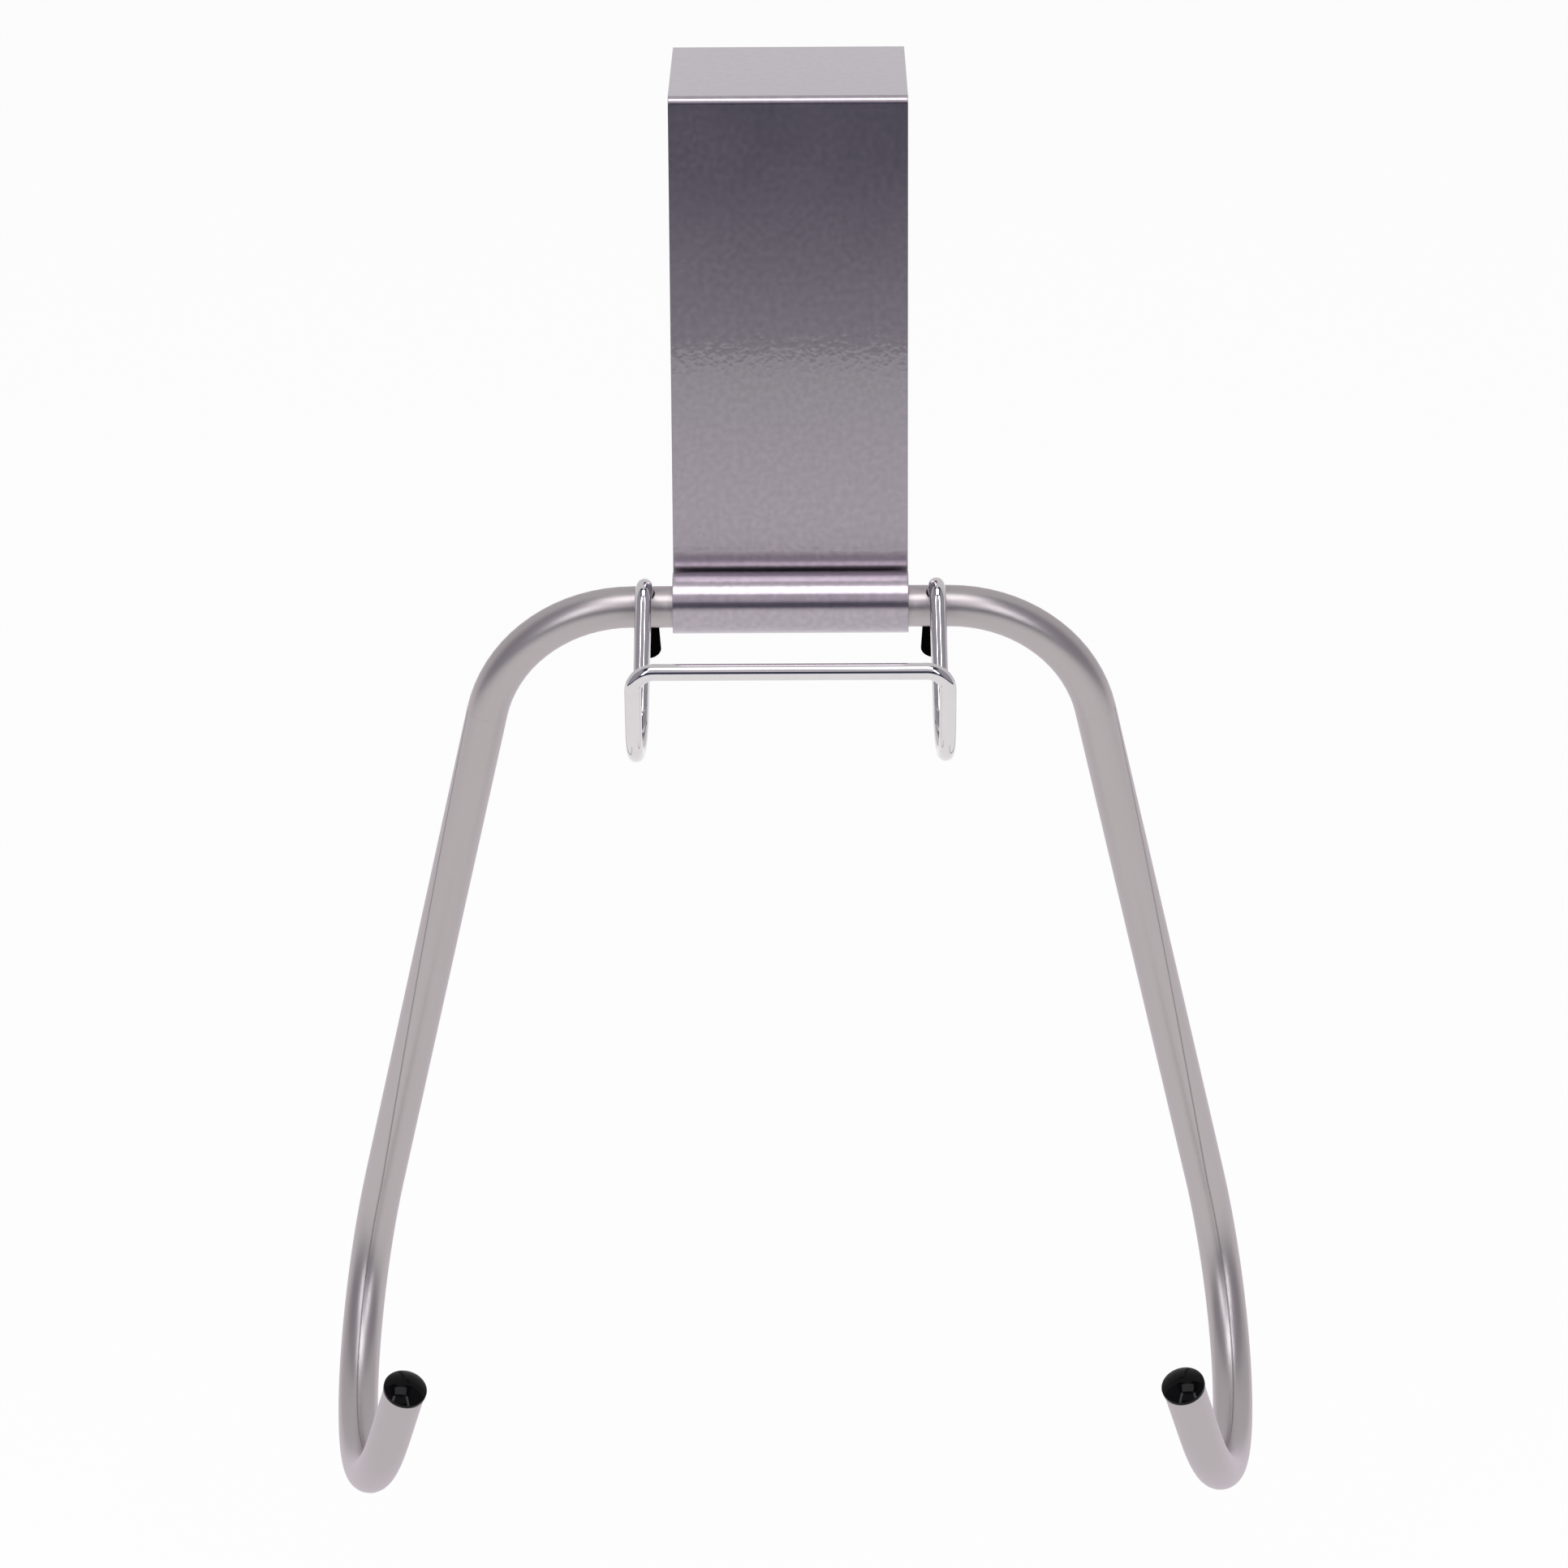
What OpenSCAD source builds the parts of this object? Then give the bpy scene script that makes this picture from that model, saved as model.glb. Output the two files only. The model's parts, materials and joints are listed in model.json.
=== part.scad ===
// Over-door hanger: a folded steel strap hooks over a door, and a bent-tube frame
// with two J hooks swings in the barrel that is rolled in the strap's lower end.
// A formed wire hook passes through the tube, and its rubber-tipped ends are the
// bumpers that meet the door.
// +X is to the viewer's right, +Y goes to the back of the door, +Z is up.
// The origin is the underside of the strap's top, at its centre.

/* [Strap] */
// width of the folded strap
strap_w = 51; // [36:1:70]
// thickness of the strap's sheet
strap_t = 1; // [0.8:0.1:1.6]
// clear gap between the strap's two legs, which takes the door
door_gap = 54; // [36:1:80]
// height from the barrel's centre to the strap's top face
front_drop = 110; // [80:1:180]
// height of the back lip, from its lower edge to the strap's top face
lip_drop = 40; // [24:1:70]
// inside radius of the two folds over the door
fold_r = 0.6; // [0.4:0.1:3]
// radius of the back lip's two lower corners
lip_corner_r = 8; // [2:0.5:14]

/* [Barrel] */
// free play all round between the barrel and the tube
barrel_play = 1.2; // [0.6:0.1:1.8]
// gap left under the hanging tube
seat_gap = 0.3; // [0.1:0.05:0.5]
// gap between the rolled edge and the front plate
curl_gap = 2.4; // [0.2:0.1:3.6]

/* [Tube frame] */
// outside diameter of the tube
tube_od = 9; // [7:0.5:11]
// wall of the tube
tube_wall = 0.9; // [0.6:0.1:1.3]
// centreline radius of the two top bends
top_bend_r = 33; // [24:0.5:60]
// angle of each arm from upright
arm_splay = 12.6; // [0:0.2:25]
// straight length of each arm
arm_len = 125.2; // [60:0.2:220]
// angle at which the frame hangs behind upright when nothing is on it
hang_deg = 11.8; // [0:0.1:20]

/* [J hooks] */
// centreline radius of the J bends
hook_r = 42; // [28:0.5:60]
// sweep of the J bends
hook_sweep = 162.6; // [120:0.2:175]
// angle by which the hooks point inwards
hook_toe = 5.8; // [0:0.2:15]
// straight length at each hook's tip
hook_tip = 18; // [10:0.5:40]

/* [Wire hook] */
// diameter of the wire
wire_d = 3.6; // [2.5:0.1:4.5]
// clearance round the wire in the tube's holes
hole_clear = 0.2; // [0.1:0.05:0.4]
// distance from the strap's edge to the wire
wire_side = 5.8; // [4:0.1:12]
// distance from the wire to the start of the top bend
bend_side = 3.1; // [2.8:0.1:12]
// angle of the wire's ends above level, where they cross the tube
stub_angle = 70; // [55:1:80]
// length of the wire's ends below the tube's centre
stub_len = 13.8; // [10:0.1:30]
// straight length above the tube before the wire turns down
hairpin_lift = 0.7; // [0:0.1:5]
// centreline radius of the turn over the tube
hairpin_r = 3.4; // [2.6:0.1:6]
// angle of the turn over the tube
hairpin_bend = 130; // [118:1:140]
// straight length of the back legs
leg_len = 22.4; // [12:0.2:50]
// centreline radius of the upturned fronts
upturn_r = 10.4; // [8:0.2:20]
// straight length of the front legs
lip_rise = 9.2; // [4:0.2:30]
// centreline radius of the crossbar's two corners
corner_r = 4.5; // [3:0.1:8]
// angle by which each side loop opens outwards
wire_toe = 3; // [0:0.5:6]

/* [Caps and plugs] */
// wall of the rubber cap at its open end
cap_wall = 0.7; // [0.5:0.1:2]
// extra wall at the cap's closed end
cap_flare = 0.2; // [0:0.1:0.6]
// thickness of the cap's closed end
cap_end = 1.4; // [1:0.1:3]
// gap between the cap and the tube
cap_gap = 0.3; // [0.1:0.1:2]
// height of the cap's domed end
cap_dome = 1.5; // [0.5:0.1:1.9]
// overhang of the plug's head past the tube
plug_over = 0.25; // [0.1:0.05:0.6]
// thickness of the plug's rim
plug_rim = 0.8; // [0.5:0.1:1.5]
// height of the plug's dome
plug_dome = 1.7; // [0.8:0.1:3]
// length of the plug's stem inside the tube
plug_stem = 8; // [5:0.5:9.5]
// height of each gripping ring on the stem
ring_h = 1; // [0.6:0.1:1.4]
// depth of the gripping rings
ring_depth = 0.35; // [0.2:0.05:0.5]
// squeeze of caps and plugs on what they grip
squeeze = 0.05; // [0.02:0.01:0.1]

/* [Hidden] */
$fn = 64;
// bends draw in by this much on the diameter, and each straight laps into them
bend_draw = 0.02;
bend_lap = 0.05;

silver = [0.72, 0.71, 0.73];
satin = [0.69, 0.67, 0.68];
chrome = [0.86, 0.86, 0.88];
black = [0.04, 0.04, 0.04];

// barrel, rolled forwards so that its back is flush with the plate's back
barrel_ri = tube_od / 2 + barrel_play;
barrel_ro = barrel_ri + strap_t;
barrel_y = -door_gap / 2 - barrel_ro;
barrel_z = strap_t - front_drop;
curl_open = acos((barrel_ri - curl_gap) / barrel_ro);

// the tube's axis, low in the barrel; it is also the hinge's axis
axis_y = barrel_y;
axis_z = barrel_z - (barrel_play - seat_gap);

tube_id = tube_od - 2 * tube_wall;
wire_x = strap_w / 2 + wire_side;
top_half = wire_x + bend_side;
hole_d = wire_d + 2 * hole_clear;

// bending tables: [straight length, turn about it, bend angle, bend radius]
function arm_rows(tip) = [
    [0, 0, 90 - arm_splay, top_bend_r],
    [arm_len, hook_toe - 90, hook_sweep, hook_r],
    [tip, 0, 0, 0]];
rise = tube_od / 2 + hairpin_lift;
leg_angle = stub_angle - hairpin_bend;
loop_rows = [
    [stub_len + rise, 0, hairpin_bend, hairpin_r],
    [leg_len, 180, 90 - leg_angle, upturn_r],
    [lip_rise, 90 - wire_toe, 90, corner_r]];

// forward reach and height of the front legs' foot, seen from the side
function dir(a) = [cos(a), sin(a)];
loop_foot = rise * dir(stub_angle) + hairpin_r * (dir(stub_angle - 90) - dir(leg_angle - 90))
    + leg_len * dir(leg_angle) + upturn_r * (dir(leg_angle + 90) + dir(0));
cross_y = -loop_foot[0] * cos(wire_toe);
cross_z = loop_foot[1] + lip_rise + corner_r;
cross_half = wire_x + loop_foot[0] * sin(wire_toe) - corner_r;

// one arc of round rod that starts at the origin along +Z and bends towards +X
module rod_arc(d, r, a) {
    translate([r, 0, 0]) rotate([90, 0, 180])
        rotate_extrude(angle = a) translate([r, 0]) circle(d = d - bend_draw);
}

// a rod that follows a bending table
module bent_rod(rows, d, i = 0) {
    if (i < len(rows)) {
        lap_in = i > 0 ? bend_lap : 0;
        lap_out = rows[i][2] > 0 ? bend_lap : 0;
        if (rows[i][0] > 0)
            translate([0, 0, -lap_in]) cylinder(h = rows[i][0] + lap_in + lap_out, d = d);
        translate([0, 0, rows[i][0]]) rotate([0, 0, rows[i][1]]) {
            if (rows[i][2] > 0) rod_arc(d, rows[i][3], rows[i][2]);
            bend_step(rows[i]) bent_rod(rows, d, i + 1);
        }
    }
}

// moves its children to the end of one bend
module bend_step(row) {
    translate([row[3] * (1 - cos(row[2])), 0, row[3] * sin(row[2])])
        rotate([0, row[2], 0]) children();
}

// moves its children to the end of a whole bending table
module rod_end(rows, i = 0) {
    if (i < len(rows))
        translate([0, 0, rows[i][0]]) rotate([0, 0, rows[i][1]])
            bend_step(rows[i]) rod_end(rows, i + 1) children();
    else
        children();
}

// the hanging frame's place, with +X along the tube's top
module hanging() {
    translate([0, axis_y, axis_z]) rotate([hang_deg, 0, 0]) children();
}

// side is 1 for the viewer's right and -1 for the left
module on_side(side) {
    mirror([side < 0 ? 1 : 0, 0, 0]) children();
}

// the start of a top bend, looking along the tube
module arm_start() {
    translate([top_half, 0, 0]) rotate([0, 90, 0]) children();
}

// the wire's line through the tube, with +Z up along it
module wire_line() {
    translate([wire_x, 0, 0]) rotate([0, 0, wire_toe - 90])
        rotate([0, 90 - stub_angle, 0]) children();
}

// a length of sheet curved about an axis along X, from a0, measured from +Y to +Z
module sheet_arc(ri, a0, sweep) {
    rotate([90, 0, 90]) rotate([0, 0, a0]) rotate_extrude(angle = sweep)
        translate([ri, -strap_w / 2]) square([strap_t, strap_w]);
}

// one solid run of the frame's tube; the bore runs past both ends
module tube_run(d, past) {
    rotate([0, 90, 0]) cylinder(h = 2 * (top_half + bend_lap), d = d, center = true);
    for (side = [-1, 1])
        on_side(side) arm_start() bent_rod(arm_rows(hook_tip + past), d);
}

module strap() {
    inner = door_gap / 2;
    color(silver) {
        // top, which rests on the door
        translate([-strap_w / 2, fold_r - inner, 0])
            cube([strap_w, door_gap - 2 * fold_r, strap_t]);
        // front fold and plate
        translate([0, fold_r - inner, -fold_r]) sheet_arc(fold_r, 90, 90);
        translate([-strap_w / 2, -inner - strap_t, barrel_z])
            cube([strap_w, strap_t, -fold_r - barrel_z]);
        // barrel
        translate([0, barrel_y, barrel_z]) mirror([0, 0, 1])
            sheet_arc(barrel_ri, 0, 360 - curl_open);
        // back fold and lip
        translate([0, inner - fold_r, -fold_r]) sheet_arc(fold_r, 0, 90);
        translate([0, inner, 0]) back_lip();
    }
}

// the flat back lip with two rounded lower corners
module back_lip() {
    low = strap_t - lip_drop;
    translate([-strap_w / 2, 0, low + lip_corner_r])
        cube([strap_w, strap_t, -fold_r - low - lip_corner_r]);
    translate([lip_corner_r - strap_w / 2, 0, low])
        cube([strap_w - 2 * lip_corner_r, strap_t, lip_corner_r]);
    for (side = [-1, 1])
        translate([side * (strap_w / 2 - lip_corner_r), 0, low + lip_corner_r])
            rotate([-90, 0, 0]) cylinder(h = strap_t, r = lip_corner_r);
}

module tube_frame() {
    color(satin) hanging() difference() {
        tube_run(tube_od, 0);
        tube_run(tube_id, 1);
        for (side = [-1, 1])
            on_side(side) wire_line() cylinder(h = 2 * tube_od, d = hole_d, center = true);
    }
}

// domed end plug with a ringed stem
module plug(side) {
    head_r = tube_od / 2 + plug_over;
    dome_r = (head_r * head_r + plug_dome * plug_dome) / (2 * plug_dome);
    core_d = tube_id - 2 * ring_depth;
    ring_step = (plug_stem - ring_h) / 2;
    color(black) hanging() on_side(side) arm_start() rod_end(arm_rows(hook_tip)) {
        cylinder(h = plug_rim, r = head_r);
        intersection() {
            translate([0, 0, plug_rim]) cylinder(h = plug_dome, r = head_r);
            translate([0, 0, plug_rim + plug_dome - dome_r]) sphere(r = dome_r);
        }
        translate([0, 0, -plug_stem]) cylinder(h = plug_stem, d = core_d);
        for (k = [0:1:2])
            translate([0, 0, -ring_h - k * ring_step])
                cylinder(h = ring_h, d = tube_id + 2 * squeeze);
    }
}

module wire_hook() {
    color(chrome) hanging() {
        for (side = [-1, 1])
            on_side(side) wire_line() translate([0, 0, -stub_len]) bent_rod(loop_rows, wire_d);
        translate([0, cross_y, cross_z]) rotate([0, 90, 0])
            cylinder(h = 2 * (cross_half + bend_lap), d = wire_d, center = true);
    }
}

// rubber cap on the wire's lower end
module cap(side) {
    top_r = wire_d / 2 + cap_wall;
    low_r = top_r + cap_flare;
    full = stub_len + cap_end - tube_od / 2 - cap_gap;
    dome_r = (low_r * low_r + cap_dome * cap_dome) / (2 * cap_dome);
    color(black) hanging() on_side(side) wire_line()
        translate([0, 0, -stub_len - cap_end]) difference() {
            intersection() {
                cylinder(h = full, r1 = low_r, r2 = top_r);
                union() {
                    translate([0, 0, dome_r]) sphere(r = dome_r);
                    translate([0, 0, dome_r]) cylinder(h = full, r = dome_r);
                }
            }
            translate([0, 0, cap_end]) cylinder(h = full, d = wire_d - 2 * squeeze);
        }
}

module plug_left() plug(-1);
module plug_right() plug(1);
module cap_left() cap(-1);
module cap_right() cap(1);

strap();
tube_frame();
plug_left();
plug_right();
wire_hook();
cap_left();
cap_right();
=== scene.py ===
"""Looks of the over-door hanger: camera, finishes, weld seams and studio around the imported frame.

Places are in metres in the row frame: +X to the viewer's right, +Y from the strap's front plate to
its back lip, +Z up, with the origin under the middle of the strap's top.
"""

import json
import math

import bpy
import numpy as np
from mathutils import Matrix, Vector
from mathutils.bvhtree import BVHTree


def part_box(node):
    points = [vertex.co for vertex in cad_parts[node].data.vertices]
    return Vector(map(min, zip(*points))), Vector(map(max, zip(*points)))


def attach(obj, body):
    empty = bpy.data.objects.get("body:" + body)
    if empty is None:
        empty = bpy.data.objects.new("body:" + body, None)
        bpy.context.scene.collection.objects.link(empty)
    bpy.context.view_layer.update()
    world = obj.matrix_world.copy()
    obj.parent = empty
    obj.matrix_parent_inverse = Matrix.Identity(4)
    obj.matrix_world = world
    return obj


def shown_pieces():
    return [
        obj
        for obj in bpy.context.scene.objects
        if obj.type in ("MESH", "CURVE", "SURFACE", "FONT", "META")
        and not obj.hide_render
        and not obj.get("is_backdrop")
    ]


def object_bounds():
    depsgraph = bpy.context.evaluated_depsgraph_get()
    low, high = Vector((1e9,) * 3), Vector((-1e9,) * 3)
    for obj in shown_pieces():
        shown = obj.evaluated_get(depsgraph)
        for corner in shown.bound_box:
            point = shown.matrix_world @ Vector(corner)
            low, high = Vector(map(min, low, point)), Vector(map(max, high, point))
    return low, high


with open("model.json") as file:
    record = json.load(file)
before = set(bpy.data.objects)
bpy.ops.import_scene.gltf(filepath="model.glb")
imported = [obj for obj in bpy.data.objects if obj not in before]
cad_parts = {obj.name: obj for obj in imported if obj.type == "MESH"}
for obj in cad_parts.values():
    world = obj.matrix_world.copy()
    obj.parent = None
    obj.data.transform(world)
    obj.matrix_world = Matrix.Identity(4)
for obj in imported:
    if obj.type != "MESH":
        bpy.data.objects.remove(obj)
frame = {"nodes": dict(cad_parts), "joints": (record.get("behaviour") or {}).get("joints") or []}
cad_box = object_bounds()

MM = 0.001

# ---------------------------------------------------------------- image points
# The photograph's frame, scaled down to a long side of 1568.
IMAGE_W = 1568
IMAGE_H = 1568
IMAGE_POINTS = {
    "object_left_x": (339.2, None),
    "object_right_x": (1253.1, None),
    "object_top_y": (None, 45.9),
    "object_bottom_y": (None, 1493.1),
    "strap_front_edge_left": (667.6, 99.0),
    "strap_front_edge_right": (908.1, 97.8),
    "strap_back_edge_left": (673.0, 46.6),
    "strap_back_edge_right": (902.5, 45.9),
    "barrel_lowest_y": (None, 633.0),
    "wire_crest_left": (644.8, 578.6),
    "wire_crest_right": (936.0, 577.2),
    "wire_crossbar_middle": (785.0, 672.0),
    "wire_lowest_left": (636.1, 762.5),
    "wire_lowest_right": (945.8, 761.1),
    "plug_left": (405.0, 1389.5),
    "plug_right": (1182.9, 1385.0),
    "seam_right_upper": (1168.7, 973.9),
    "seam_right_lower": (1210.7, 1201.2),
}

# ---------------------------------------------------------------- camera
CAMERA_AIM = Vector((-1.7, -28.0, -152.3)) * MM
CAMERA_DISTANCE = 1317.0 * MM
CAMERA_PITCH = math.radians(18.1)
CAMERA_YAW = math.radians(-0.3)
CAMERA_ROLL = math.radians(-0.35)
CAMERA_LENS = 137.46
CAMERA_SENSOR = 36.0


def make_camera():
    """The camera of the photograph, placed by its aim point, distance and angles."""
    forward = Vector((
        math.sin(CAMERA_YAW) * math.cos(CAMERA_PITCH),
        math.cos(CAMERA_YAW) * math.cos(CAMERA_PITCH),
        -math.sin(CAMERA_PITCH),
    ))
    level_right = Vector((math.cos(CAMERA_YAW), -math.sin(CAMERA_YAW), 0))
    level_up = level_right.cross(forward)
    right = math.cos(CAMERA_ROLL) * level_right + math.sin(CAMERA_ROLL) * level_up
    up = right.cross(forward)
    data = bpy.data.cameras.new("photo_camera")
    data.lens = CAMERA_LENS
    data.sensor_width = CAMERA_SENSOR
    data.sensor_fit = "AUTO"
    camera = bpy.data.objects.new("photo_camera", data)
    camera.matrix_world = (
        Matrix.Translation(CAMERA_AIM - forward * CAMERA_DISTANCE)
        @ Matrix((right, up, -forward)).transposed().to_4x4()
    )
    bpy.context.scene.collection.objects.link(camera)
    bpy.context.scene.camera = camera
    return camera


camera = make_camera()


def image_ray(x, y):
    """The camera's ray through an image point: where it starts, and its direction."""
    long_side = max(IMAGE_W, IMAGE_H)
    data = camera.data
    direction = Vector((
        x - IMAGE_W / 2 + data.shift_x * long_side,
        IMAGE_H / 2 - y + data.shift_y * long_side,
        -long_side * data.lens / data.sensor_width,
    ))
    turned = camera.matrix_world.to_3x3() @ direction
    return camera.matrix_world.translation, turned.normalized()


def image_place(place):
    """Where a place in the row frame shows in the photograph's frame."""
    long_side = max(IMAGE_W, IMAGE_H)
    data = camera.data
    seen = camera.matrix_world.inverted() @ Vector(place)
    scale = long_side * data.lens / data.sensor_width / -seen.z
    return (
        IMAGE_W / 2 + seen.x * scale - data.shift_x * long_side,
        IMAGE_H / 2 - seen.y * scale + data.shift_y * long_side,
    )


def surface_tree(*objects):
    """A BVHTree of finished meshes at their places."""
    corners, faces = [], []
    for item in objects:
        start = len(corners)
        corners += [item.matrix_world @ v.co for v in item.data.vertices]
        faces += [[start + i for i in p.vertices] for p in item.data.polygons]
    return BVHTree.FromPolygons(corners, faces)


def place_on(tree, point, tries=20):
    """Where the ray of an image point meets a surface, or the surface's place nearest the ray."""
    start, direction = image_ray(*point)
    hit = tree.ray_cast(start, direction)[0]
    if hit is None:
        along = start
        for _ in range(tries):
            hit = tree.find_nearest(along)[0]
            along = start + direction * (hit - start).dot(direction)
    return hit


# ---------------------------------------------------------------- shader helpers
NOISE_MIDDLE = (0.3, 0.7)
BEVEL_SAMPLES = 6


def maths(tree, operation, *values):
    """A Math node on sockets or numbers."""
    made = tree.nodes.new("ShaderNodeMath")
    made.operation = operation
    for socket, value in zip(made.inputs, values):
        if isinstance(value, float):
            socket.default_value = value
        else:
            tree.links.new(value, socket)
    return made.outputs[0]


def map_range(tree, value, source, target, kind="LINEAR"):
    """value mapped from the source pair to the target pair, and held at its ends."""
    made = tree.nodes.new("ShaderNodeMapRange")
    made.interpolation_type = kind
    numbers = (*source, *target)
    for key, number in zip(("From Min", "From Max", "To Min", "To Max"), numbers):
        made.inputs[key].default_value = number
    tree.links.new(value, made.inputs["Value"])
    return made.outputs["Result"]


def mix_colour(tree, share, dark, light):
    """Goes from the dark colour to the light one as share goes from 0 to 1."""
    made = tree.nodes.new("ShaderNodeMix")
    made.data_type = "RGBA"
    made.inputs["A"].default_value = (*dark, 1)
    made.inputs["B"].default_value = (*light, 1)
    tree.links.new(share, made.inputs["Factor"])
    return made.outputs["Result"]


def mix_shader(tree, share, plain, seen):
    """Goes from the plain shader to the seen one as share goes from 0 to 1."""
    made = tree.nodes.new("ShaderNodeMixShader")
    for socket, source in zip(made.inputs, (share, plain, seen)):
        tree.links.new(source, socket)
    return made.outputs[0]


class Shader:
    """A material's node tree, with short calls for the nodes used here. Lengths are in metres."""

    def __init__(self, name):
        self.material = bpy.data.materials.new(name)
        self.material.use_nodes = True
        self.tree = self.material.node_tree
        self.surface = self.tree.nodes["Principled BSDF"]
        self.place = self.node("ShaderNodeTexCoord").outputs["Object"]

    def node(self, kind, **settings):
        """A new node, with its settings."""
        made = self.tree.nodes.new(kind)
        for key, value in settings.items():
            setattr(made, key, value)
        return made

    def link(self, source, target):
        """Links an output to an input."""
        self.tree.links.new(source, target)

    def set(self, **values):
        """Sets the surface's sockets, written with _ for a space."""
        for key, value in values.items():
            self.surface.inputs[key.replace("_", " ")].default_value = value

    def noise(self, size, detail):
        """Noise from 0 to 1 whose features are about size across."""
        made = self.node("ShaderNodeTexNoise")
        made.inputs["Scale"].default_value = 1 / size
        made.inputs["Detail"].default_value = detail
        self.link(self.place, made.inputs["Vector"])
        return made.outputs["Fac"]

    def spread(self, source, low, high):
        """The middle of a noise's range, mapped to low to high."""
        return map_range(self.tree, source, NOISE_MIDDLE, (low, high))

    def tint(self, source, dark, light):
        """Goes from the dark colour to the light one as source goes from 0 to 1."""
        return mix_colour(self.tree, source, dark, light)

    def bump(self, source, height, normal):
        """A relief of that height from source, over an earlier normal."""
        made = self.node("ShaderNodeBump")
        made.inputs["Distance"].default_value = height
        self.link(source, made.inputs["Height"])
        self.link(normal, made.inputs["Normal"])
        return made.outputs["Normal"]

    def soft_edge(self, radius):
        """The normal of an edge rounded to that radius."""
        made = self.node("ShaderNodeBevel", samples=BEVEL_SAMPLES)
        made.inputs["Radius"].default_value = radius
        return made.outputs["Normal"]

    def finish(self, **sources):
        """Links sources to the surface's sockets and returns the material."""
        for key, source in sources.items():
            self.link(source, self.surface.inputs[key.replace("_", " ")])
        return self.material


# ---------------------------------------------------------------- materials
SPECULAR_TINT = (0.96, 0.9, 0.97, 1)
CLOUD_SIZE = 30 * MM
FLAKE_SIZE = 0.12 * MM
FLAKE_SHARE = 0.35
CLOUD_SHADE = (0.2, 0.45)
ROUGH_SPREAD = 0.015
FLAKE_RELIEF = 1 / 3
PAINT_EDGE = 0.35 * MM
CHROME_DARK = (0.66, 0.635, 0.65)
CHROME_LIGHT = (0.73, 0.705, 0.72)
CHROME_ROUGH = (0.04, 0.08)
HAZE_SIZE = 3 * MM
BLACK_DARK = (0.001, 0.001, 0.001)
BLACK_LIGHT = (0.003, 0.0025, 0.003)
PLASTIC_EDGE = 0.2 * MM


def silver_paint(
    name, dark, light, rough, film, film_ior, film_rough, peel_size, peel, peel_painted_shade=0.0
):
    """Satin silver paint: metal flake under a clear film.

    The film's share, IOR and roughness are film, film_ior and film_rough. Its orange peel has
    features peel_size across and a relief of peel, and the peel's light and shade are also painted
    into the colour as painted shade, as strong as the last argument.
    """
    s = Shader(name)
    s.set(Metallic=1.0, Specular_Tint=SPECULAR_TINT)
    s.set(Coat_Weight=film, Coat_Roughness=film_rough, Coat_IOR=film_ior)
    cloud = s.noise(CLOUD_SIZE, detail=3)
    flake = s.noise(FLAKE_SIZE, detail=1)
    ripple = s.noise(peel_size, detail=1)
    shade = maths(s.tree, "MULTIPLY_ADD", flake, FLAKE_SHARE, s.spread(cloud, *CLOUD_SHADE))
    # Painted shade: the peel ripple lightens and darkens the base colour, as light and shade on its
    # relief would.
    shade = maths(s.tree, "ADD", shade, s.spread(ripple, -peel_painted_shade, peel_painted_shade))
    edge = s.soft_edge(PAINT_EDGE)
    return s.finish(
        Base_Color=s.tint(shade, dark, light),
        Roughness=s.spread(cloud, rough - ROUGH_SPREAD, rough + ROUGH_SPREAD),
        Normal=s.bump(ripple, peel * FLAKE_RELIEF, edge),
        Coat_Normal=s.bump(ripple, peel, edge),
    )


def chrome(name):
    """Bright nickel-chrome plating with faint haze."""
    s = Shader(name)
    s.set(Metallic=1.0)
    haze = s.noise(HAZE_SIZE, detail=4)
    return s.finish(
        Base_Color=s.tint(haze, CHROME_DARK, CHROME_LIGHT),
        Roughness=s.spread(haze, *CHROME_ROUGH),
    )


def black_plastic(name, shine, rough_low, rough_high, grain_size, grain_height):
    """Moulded black plastic or rubber, with a fine grain."""
    s = Shader(name)
    s.set(Specular_IOR_Level=shine)
    grain = s.noise(grain_size, detail=3)
    return s.finish(
        Base_Color=s.tint(grain, BLACK_DARK, BLACK_LIGHT),
        Roughness=s.spread(grain, rough_low, rough_high),
        Normal=s.bump(grain, grain_height, s.soft_edge(PLASTIC_EDGE)),
    )


# The tube's thin film, which its weld seams have too.
TUBE_FILM = dict(
    film=0.2, film_ior=1.5, film_rough=0.3, peel_size=6.0 * MM, peel=0.0003 * MM
)
# The strap's colour also carries painted shade of its orange peel, set by the last argument.
strap_silver = silver_paint(
    "strap_silver", (0.37, 0.325, 0.37), (0.425, 0.375, 0.425), rough=0.262,
    film=1.0, film_ior=1.68, film_rough=0.04, peel_size=1.4 * MM, peel=0.01 * MM, peel_painted_shade=0.5,
)
tube_silver = silver_paint(
    "tube_silver", (0.45, 0.415, 0.42), (0.52, 0.48, 0.49), rough=0.37, **TUBE_FILM
)
# The seams' silver is darker than the tube's: painted shade of the seam line, over a real low bead.
seam_painted_shade_silver = silver_paint(
    "seam_painted_shade_silver", (0.27, 0.25, 0.26), (0.34, 0.32, 0.33), rough=0.4, **TUBE_FILM
)
wire_chrome = chrome("wire_chrome")
plug_black = black_plastic(
    "plug_black", shine=0.10, rough_low=0.05, rough_high=0.10,
    grain_size=0.5 * MM, grain_height=0.004 * MM,
)
cap_black = black_plastic(
    "cap_black", shine=0.0, rough_low=0.30, rough_high=0.45,
    grain_size=0.4 * MM, grain_height=0.012 * MM,
)
NODE_MATERIALS = {
    "strap": strap_silver,
    "tube_frame": tube_silver,
    "wire_hook": wire_chrome,
    "plug_left": plug_black,
    "plug_right": plug_black,
    "cap_left": cap_black,
    "cap_right": cap_black,
}


def dress(node, material):
    """Gives a CAD node its material."""
    mesh = frame["nodes"][node].data
    mesh.materials.clear()
    mesh.materials.append(material)


for node, material in NODE_MATERIALS.items():
    dress(node, material)


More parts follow.
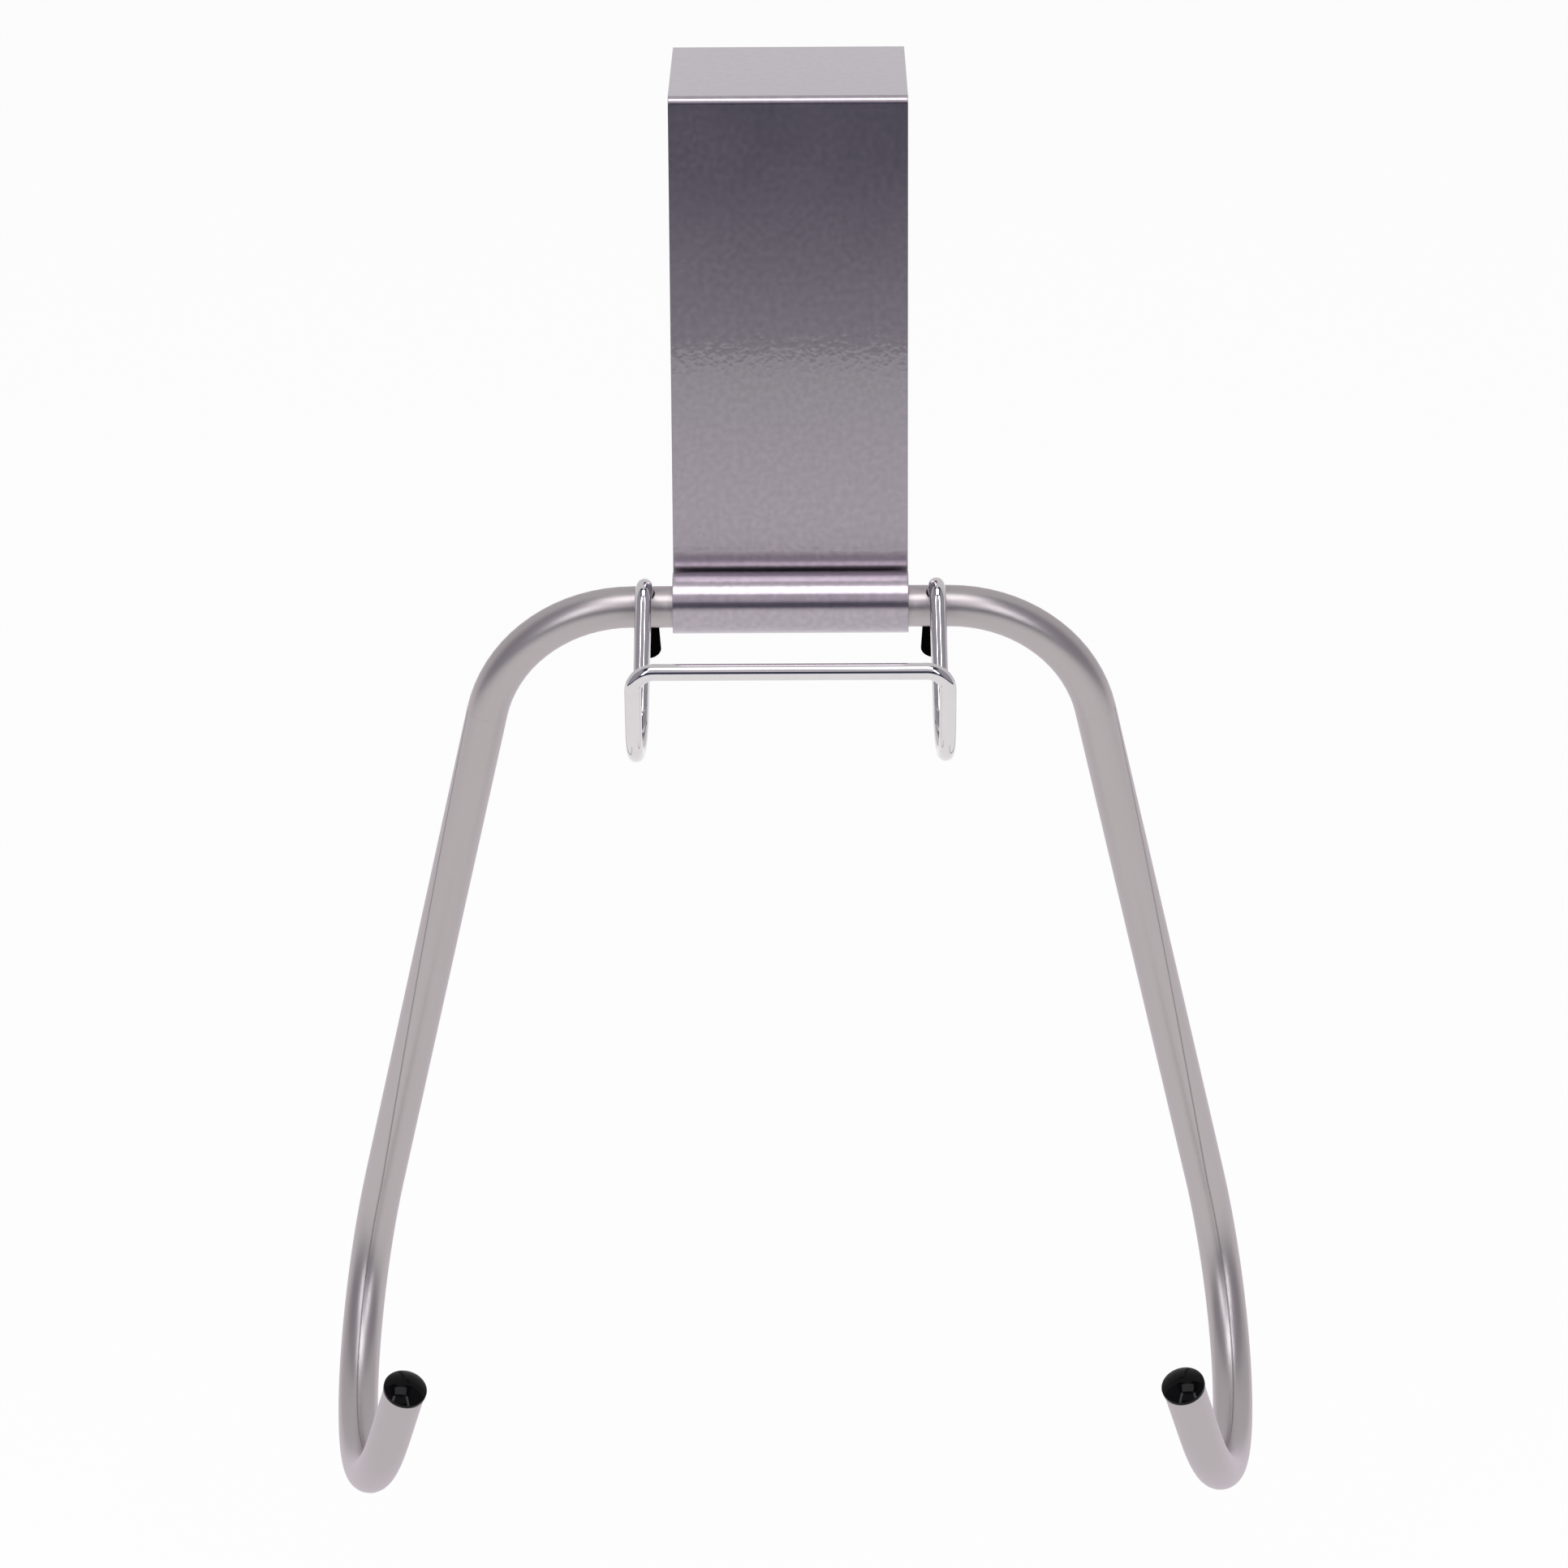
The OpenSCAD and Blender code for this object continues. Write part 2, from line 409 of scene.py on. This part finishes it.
# ---------------------------------------------------------------- weld seams
# The tube's route, as in the CAD source.
TUBE_R = 4.5 * MM
TOP_HALF = 34.4 * MM
TOP_BEND_R = 33.0 * MM
ARM_SPLAY = math.radians(12.6)
ARM_LEN = 125.2 * MM
HANG = math.radians(11.8)
HOOK_R = 42.0 * MM
HOOK_SWEEP = math.radians(162.6)
HOOK_TOE = math.radians(5.8)
HOOK_TIP = 18.0 * MM
ARM_STEPS = 60
HOOK_STEPS = 90
SEAM_HALF_WIDTH = 0.15 * MM
SEAM_PROUD = 0.03 * MM
SEAM_SHOULDER = 0.6
SEAM_SUNK = 0.1 * MM
SEAM_END_GAP = 0.5 * MM


def route():
    """The right arm's axis from below the top bend to the hook's tip.

    Each row is the length so far, the place, the direction and the hook's inner side.
    """
    turn = math.pi / 2 - ARM_SPLAY
    down = Vector((math.cos(turn), 0, -math.sin(turn)))
    place = Vector((TOP_HALF + TOP_BEND_R * math.sin(turn), 0, -TOP_BEND_R * (1 - math.cos(turn))))
    front = Vector((0, -1, 0))
    inner = math.cos(HOOK_TOE) * front + math.sin(HOOK_TOE) * down.cross(front)
    rows = [
        (ARM_LEN * i / ARM_STEPS, place + down * ARM_LEN * i / ARM_STEPS, down, inner)
        for i in range(ARM_STEPS)
    ]
    middle = place + down * ARM_LEN + inner * HOOK_R
    for i in range(HOOK_STEPS + 1):
        angle = HOOK_SWEEP * i / HOOK_STEPS
        toward = inner * math.cos(angle) - down * math.sin(angle)
        along = down * math.cos(angle) + inner * math.sin(angle)
        rows.append((ARM_LEN + HOOK_R * angle, middle - toward * HOOK_R, along, toward))
    length, last, along, toward = rows[-1]
    tip = HOOK_TIP - SEAM_END_GAP
    rows.append((length + tip, last + along * tip, along, toward))
    swing = Matrix.Rotation(HANG, 3, "X")
    axis = Vector(frame["joints"][0]["pos_m"])
    return [(s, axis + swing @ p, swing @ d, swing @ n) for s, p, d, n in rows]


def seam_turn(rows, place):
    """The length along the route nearest a place, and how far round from the inner side it lies."""
    s, p, d, n = min(rows, key=lambda row: (row[1] - place).length)
    across = place - p
    return s, math.atan2(across.dot(n.cross(d)), across.dot(n))


def seam_strip(name, rows, turn_at, mirror):
    """A low weld bead along the route, turned round the tube by turn_at(length)."""
    profile = [
        (-2 * SEAM_HALF_WIDTH, -SEAM_SUNK),
        (-SEAM_HALF_WIDTH, SEAM_PROUD * SEAM_SHOULDER),
        (0, SEAM_PROUD),
        (SEAM_HALF_WIDTH, SEAM_PROUD * SEAM_SHOULDER),
        (2 * SEAM_HALF_WIDTH, -SEAM_SUNK),
    ]
    corners, faces = [], []
    for s, p, d, n in rows:
        side = n.cross(d)
        for offset, rise in profile:
            angle = turn_at(s) + offset / TUBE_R
            at = p + (n * math.cos(angle) + side * math.sin(angle)) * (TUBE_R + rise)
            corners.append((-at.x if mirror else at.x, at.y, at.z))
    count = len(profile)
    for i in range(len(rows) - 1):
        for j in range(count - 1):
            a = i * count + j
            quad = (a, a + 1, a + count + 1, a + count)
            faces.append(quad if mirror else quad[::-1])
    mesh = bpy.data.meshes.new(name)
    mesh.from_pydata(corners, [], faces)
    mesh.polygons.foreach_set("use_smooth", [True] * len(faces))
    # Its darker silver is painted shade along the seam.
    mesh.materials.append(seam_painted_shade_silver)
    strip = bpy.data.objects.new(name, mesh)
    bpy.context.scene.collection.objects.link(strip)
    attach(strip, "frame_body")
    return strip


def make_seams():
    """The mirrored pair of weld seams, set by the right one's image points. Returns that one."""
    rows = route()
    tube = surface_tree(frame["nodes"]["tube_frame"])
    upper = seam_turn(rows, place_on(tube, IMAGE_POINTS["seam_right_upper"]))
    lower = seam_turn(rows, place_on(tube, IMAGE_POINTS["seam_right_lower"]))
    twist = (lower[1] - upper[1]) / (lower[0] - upper[0])

    def turn_at(length):
        return lower[1] + twist * (min(length, ARM_LEN) - lower[0])

    right = seam_strip("seam_right", rows, turn_at, mirror=False)
    seam_strip("seam_left", rows, turn_at, mirror=True)
    return right


right_seam = make_seams()


# ---------------------------------------------------------------- studio
FLOOR_DROP = 60 * MM
FLOOR_HALF = 4.0
FLOOR_COLOUR = (0.86, 0.85, 0.85, 1)
FLOOR_WHITE = 0.92
WORLD_COLOUR = (0.97, 0.97, 1.0, 1)
WORLD_LIGHT = 0.75
WHITE = (1, 1, 1, 1)
WHITE_REFLECTED = 0.72
# name: (place, aim, width, height, watts)
LIGHTS = {
    "front_top": ((0.0, -0.54, 0.9), (0.0, -0.05, -0.15), 0.8, 0.6, 4.6),
    "front_left": ((-0.53, -1.05, 0.42), (0.0, -0.08, -0.2), 0.15, 0.7, 2.0),
    "front_right": ((0.53, -1.05, 0.42), (0.0, -0.08, -0.2), 0.15, 0.7, 2.0),
}
# The dark front half of the room, seen in reflections: (radius, height) from its near lower edge
# out, up the wall and over its top.
WALL_PROFILE = [(0.61, -0.20), (1.6, -0.15), (1.6, 0.9), (1.2, 1.25), (0.35, 1.25)]
WALL_TURN = math.radians(95)
WALL_STEPS = 48
WALL_DARK = (0.05, 0.055, 0.09)
# It is pale behind the camera, over half the width PALE_HALF_WIDTH and between two heights, and
# SIDE_SHARE as pale at the sides. A SOFT length is how far its edge fades to each side.
PALE = (0.66, 0.63, 0.68)
PALE_HALF_WIDTH = 0.75
PALE_WIDTH_SOFT = 0.1
PALE_FROM = 0.42
PALE_FROM_SOFT = 0.08
PALE_TO = 1.1
PALE_TO_SOFT = 0.1
SIDE_FROM = 0.95
SIDE_FROM_SOFT = 0.2
SIDE_SHARE = 0.5


def look_along(direction):
    """The rotation that turns a lamp's -Z to direction."""
    return direction.to_track_quat("-Z", "Y").to_matrix().to_4x4()


def area_light(name, place, aim, width, height, watts):
    """A softbox."""
    data = bpy.data.lights.new(name, "AREA")
    data.shape = "RECTANGLE"
    data.size = width
    data.size_y = height
    data.energy = watts
    lamp = bpy.data.objects.new(name, data)
    lamp.matrix_world = Matrix.Translation(Vector(place)) @ look_along(Vector(aim) - Vector(place))
    lamp.visible_camera = False
    bpy.context.scene.collection.objects.link(lamp)


def panel(name, corners, faces, material):
    """A stage surface."""
    mesh = bpy.data.meshes.new(name)
    mesh.from_pydata(corners, [], faces)
    mesh.materials.append(material)
    made = bpy.data.objects.new(name, mesh)
    bpy.context.scene.collection.objects.link(made)
    made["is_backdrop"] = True
    return made


def white_seen(tree):
    """1 for camera, glossy and transmission rays, which see the white studio."""
    path = tree.nodes.new("ShaderNodeLightPath").outputs
    seen = maths(tree, "MAXIMUM", path["Is Camera Ray"], path["Is Glossy Ray"])
    return maths(tree, "MAXIMUM", seen, path["Is Transmission Ray"])


def make_world():
    """Plain soft light, with white where the camera or a reflection sees it."""
    world = bpy.data.worlds.new("studio")
    world.use_nodes = True
    tree = world.node_tree
    light = tree.nodes["Background"]
    light.inputs["Color"].default_value = WORLD_COLOUR
    light.inputs["Strength"].default_value = WORLD_LIGHT
    white = tree.nodes.new("ShaderNodeBackground")
    white.inputs["Color"].default_value = WHITE
    path = tree.nodes.new("ShaderNodeLightPath").outputs
    level = map_range(tree, path["Is Camera Ray"], (0, 1), (WHITE_REFLECTED, 1))
    tree.links.new(level, white.inputs["Strength"])
    mixed = mix_shader(tree, white_seen(tree), light.outputs[0], white.outputs[0])
    tree.links.new(mixed, tree.nodes["World Output"].inputs["Surface"])
    bpy.context.scene.world = world


def make_floor():
    """A pale floor below the hanging part, which keeps its shadow."""
    low = cad_box[0].z - FLOOR_DROP
    corners = [
        (-FLOOR_HALF, -FLOOR_HALF, low),
        (FLOOR_HALF, -FLOOR_HALF, low),
        (FLOOR_HALF, FLOOR_HALF, low),
        (-FLOOR_HALF, FLOOR_HALF, low),
    ]
    s = Shader("floor_white")
    s.set(Base_Color=FLOOR_COLOUR, Roughness=0.9, Specular_IOR_Level=0.1)
    glow = s.node("ShaderNodeEmission")
    share = maths(s.tree, "MULTIPLY", white_seen(s.tree), FLOOR_WHITE)
    mixed = mix_shader(s.tree, share, s.surface.outputs[0], glow.outputs[0])
    s.link(mixed, s.tree.nodes["Material Output"].inputs["Surface"])
    panel("floor", corners, [(0, 1, 2, 3)], s.material)


def soft_step(tree, value, middle, half, before, after):
    """A soft step of value, half wide each side of its middle."""
    return map_range(
        tree, value, (middle - half, middle + half), (before, after), "SMOOTHSTEP"
    )


def wall_material():
    """Self-lit: dark, with a pale stretch in its middle and half-pale sides."""
    s = Shader("wall_seen")
    split = s.node("ShaderNodeSeparateXYZ")
    s.link(s.place, split.inputs[0])
    width = maths(s.tree, "ABSOLUTE", split.outputs["X"])
    height = split.outputs["Z"]
    middle = soft_step(s.tree, width, PALE_HALF_WIDTH, PALE_WIDTH_SOFT, 1, 0)
    above = soft_step(s.tree, height, PALE_FROM, PALE_FROM_SOFT, 0, 1)
    below = soft_step(s.tree, height, PALE_TO, PALE_TO_SOFT, 1, 0)
    sides = soft_step(s.tree, width, SIDE_FROM, SIDE_FROM_SOFT, 0, SIDE_SHARE)
    pale = maths(s.tree, "MULTIPLY", maths(s.tree, "MULTIPLY", middle, above), below)
    glow = s.node("ShaderNodeEmission")
    s.link(
        mix_colour(s.tree, maths(s.tree, "MAXIMUM", pale, sides), WALL_DARK, PALE),
        glow.inputs["Color"],
    )
    s.link(glow.outputs[0], s.tree.nodes["Material Output"].inputs["Surface"])
    s.tree.nodes.remove(s.surface)
    return s.material


def make_wall():
    """The room in front and at the sides, a curved wall that only reflections see."""
    corners, faces = [], []
    count = len(WALL_PROFILE)
    for i in range(WALL_STEPS + 1):
        turn = WALL_TURN * (2 * i / WALL_STEPS - 1)
        for radius, height in WALL_PROFILE:
            corners.append((radius * math.sin(turn), -radius * math.cos(turn), height))
    for i in range(WALL_STEPS):
        for j in range(count - 1):
            a = i * count + j
            faces.append((a, a + count, a + count + 1, a + 1))
    wall = panel("front_wall", corners, faces, wall_material())
    wall.visible_camera = False
    wall.visible_diffuse = False
    wall.visible_shadow = False


for name, settings in LIGHTS.items():
    area_light(name, *settings)
make_world()
make_floor()
make_wall()
bpy.context.scene.view_settings.view_transform = "Standard"


# ---------------------------------------------------------------- measured image points
# A vertex is hidden by what lies further than this in front of it.
HIDDEN_BY = 0.2 * MM
# How far inside its box the strap's rounded folds show their edges.
FOLD_INSET = 0.45 * MM
# Image pixels searched above and below a point, and their step.
COLUMN_REACH = 20
COLUMN_STEP = 0.25


def seen_vertices(names):
    """The shown places, in the photograph's frame, of the nodes' vertices that nothing hides."""
    everything = surface_tree(*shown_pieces())
    eye = camera.matrix_world.translation
    found = {}
    for name in names:
        places = []
        for v in frame["nodes"][name].data.vertices:
            direction = v.co - eye
            hit = everything.ray_cast(eye, direction.normalized())[3]
            if hit is None or hit > direction.length - HIDDEN_BY:
                places.append(image_place(v.co))
        found[name] = np.array(places)
    return found


def measure_points():
    """How far, in x and y, each thing shows from its image point."""
    seen = seen_vertices(frame["nodes"])
    whole = np.vstack(list(seen.values()))
    middle_x = IMAGE_W / 2
    wire = seen["wire_hook"]
    left_wire, right_wire = wire[wire[:, 0] < middle_x], wire[wire[:, 0] > middle_x]
    # The strap folds down alike in front and behind.
    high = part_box("strap")[1]
    front_top = Vector((0, FOLD_INSET - high.y, high.z - FOLD_INSET))
    back_top = Vector((0, high.y - FOLD_INSET, high.z))
    half = Vector((high.x, 0, 0))
    shown = {
        "object_left_x": (whole[:, 0].min(), None),
        "object_right_x": (whole[:, 0].max(), None),
        "object_top_y": (None, whole[:, 1].min()),
        "object_bottom_y": (None, whole[:, 1].max()),
        "strap_front_edge_left": image_place(front_top - half),
        "strap_front_edge_right": image_place(front_top + half),
        "strap_back_edge_left": image_place(back_top - half),
        "strap_back_edge_right": image_place(back_top + half),
        "barrel_lowest_y": (None, seen["strap"][:, 1].max()),
        "wire_crest_left": tuple(left_wire[left_wire[:, 1].argmin()]),
        "wire_crest_right": tuple(right_wire[right_wire[:, 1].argmin()]),
        "wire_lowest_left": tuple(left_wire[left_wire[:, 1].argmax()]),
        "wire_lowest_right": tuple(right_wire[right_wire[:, 1].argmax()]),
        "wire_crossbar_middle": column_middle(IMAGE_POINTS["wire_crossbar_middle"]),
    }
    for side in ("left", "right"):
        plug = seen["plug_" + side]
        shown["plug_" + side] = tuple((plug.min(0) + plug.max(0)) / 2)
    strip = np.array([image_place(v.co) for v in right_seam.data.vertices])
    for name in ("seam_right_upper", "seam_right_lower"):
        away = np.hypot(*(strip - np.array(IMAGE_POINTS[name])).T)
        shown[name] = tuple(strip[away.argmin()])
    return {
        name: [None if a is None else round(float(b - a), 1) for a, b in zip(point, shown[name])]
        for name, point in IMAGE_POINTS.items()
    }


def column_middle(point):
    """The middle of what shows of the wire in the image column of a point."""
    tree = surface_tree(frame["nodes"]["wire_hook"])
    x, y = point
    count = int(COLUMN_REACH / COLUMN_STEP)
    rows = [y + COLUMN_STEP * i for i in range(-count, count)]
    hits = [row for row in rows if tree.ray_cast(*image_ray(x, row))[0]]
    return (x, (hits[0] + hits[-1]) / 2) if hits else (x, float("nan"))


bpy.context.view_layer.update()
measure_points()
